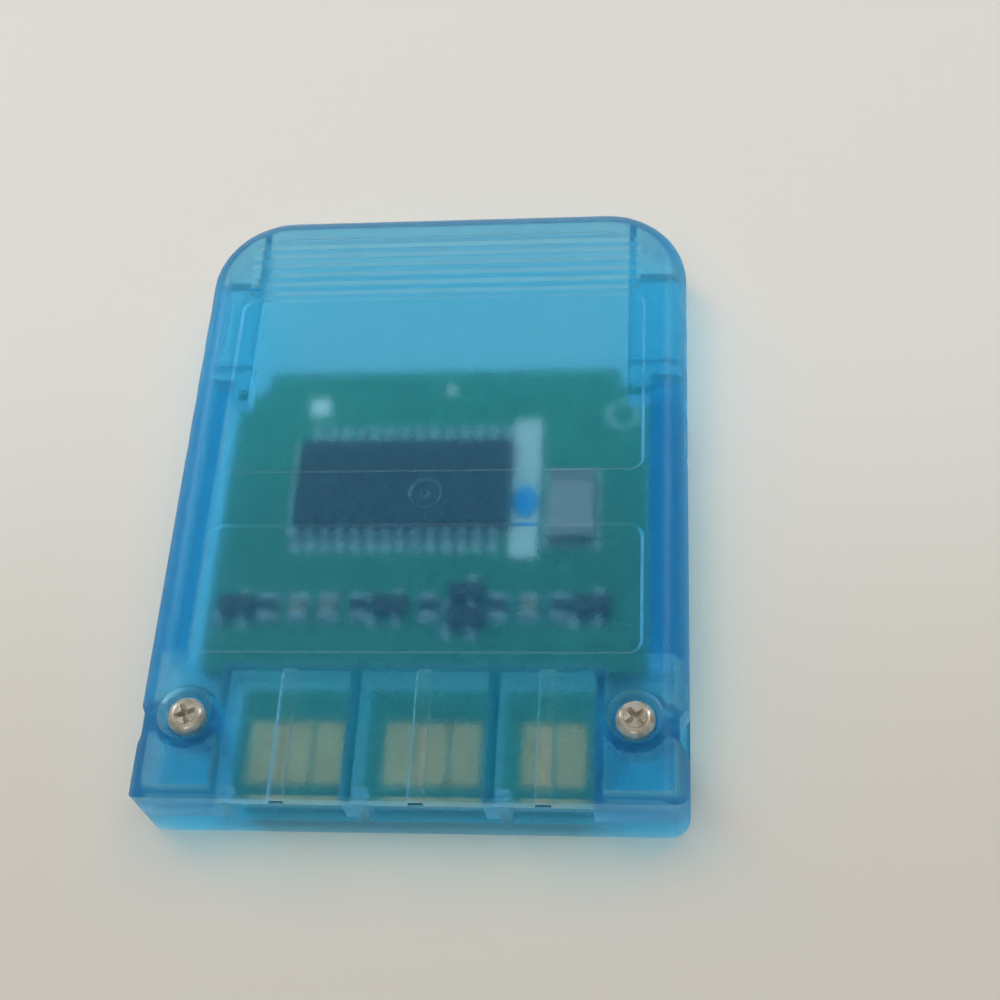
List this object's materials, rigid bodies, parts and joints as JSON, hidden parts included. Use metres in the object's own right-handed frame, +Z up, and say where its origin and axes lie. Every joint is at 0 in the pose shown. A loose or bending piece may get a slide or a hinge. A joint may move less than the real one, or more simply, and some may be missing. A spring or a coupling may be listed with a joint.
{
  "type": "console memory card",
  "caption": "Flat cartridge with a frosted translucent case, closed by screws, round a circuit board whose edge contacts lie behind a windowed mouth.",
  "frame": {"origin": "middle of the label face, which lies on the surface", "axes": "+Z up through the screw side, +Y towards the rounded grip end, -Y towards the mouth, +X to the right"},
  "size_m": [0.042, 0.055, 0.0075],
  "materials": {
    "case": "frosted translucent blue",
    "screw": "nickel plated",
    "board": "green solder mask",
    "contact": "gold plated",
    "package": "matt moulding compound",
    "tinned": "tinned",
    "ceramic": "matt ceramic",
    "label": "white coating",
    "lacquer": "gloss lacquer",
    "chip_part": "glazed ceramic"
  },
  "bodies": {
    "root": {"case_screws": "screw", "chip_leads": "tinned", "chip_part_1": "chip_part", "chip_part_2": "chip_part", "chip_part_3": "chip_part", "chip_part_4": "chip_part", "chip_part_5": "chip_part", "chip_part_6": "chip_part", "chip_part_7": "chip_part", "chip_part_8": "chip_part", "chip_part_ends": "tinned", "circuit_board": "board", "contact_finger_1": "contact", "contact_finger_2": "contact", "contact_finger_3": "contact", "contact_finger_4": "contact", "contact_finger_5": "contact", "contact_finger_6": "contact", "contact_finger_7": "contact", "contact_finger_8": "contact", "front_shell": "case", "lacquer_dot": "lacquer", "marking_label": "label", "memory_chip": "package", "rear_shell": "case", "resonator": "ceramic", "resonator_caps": "tinned", "transistor_1": "package", "transistor_2": "package", "transistor_3": "package", "transistor_4": "package", "transistor_5": "package", "transistor_leads": "tinned"}
  },
  "joints": []
}
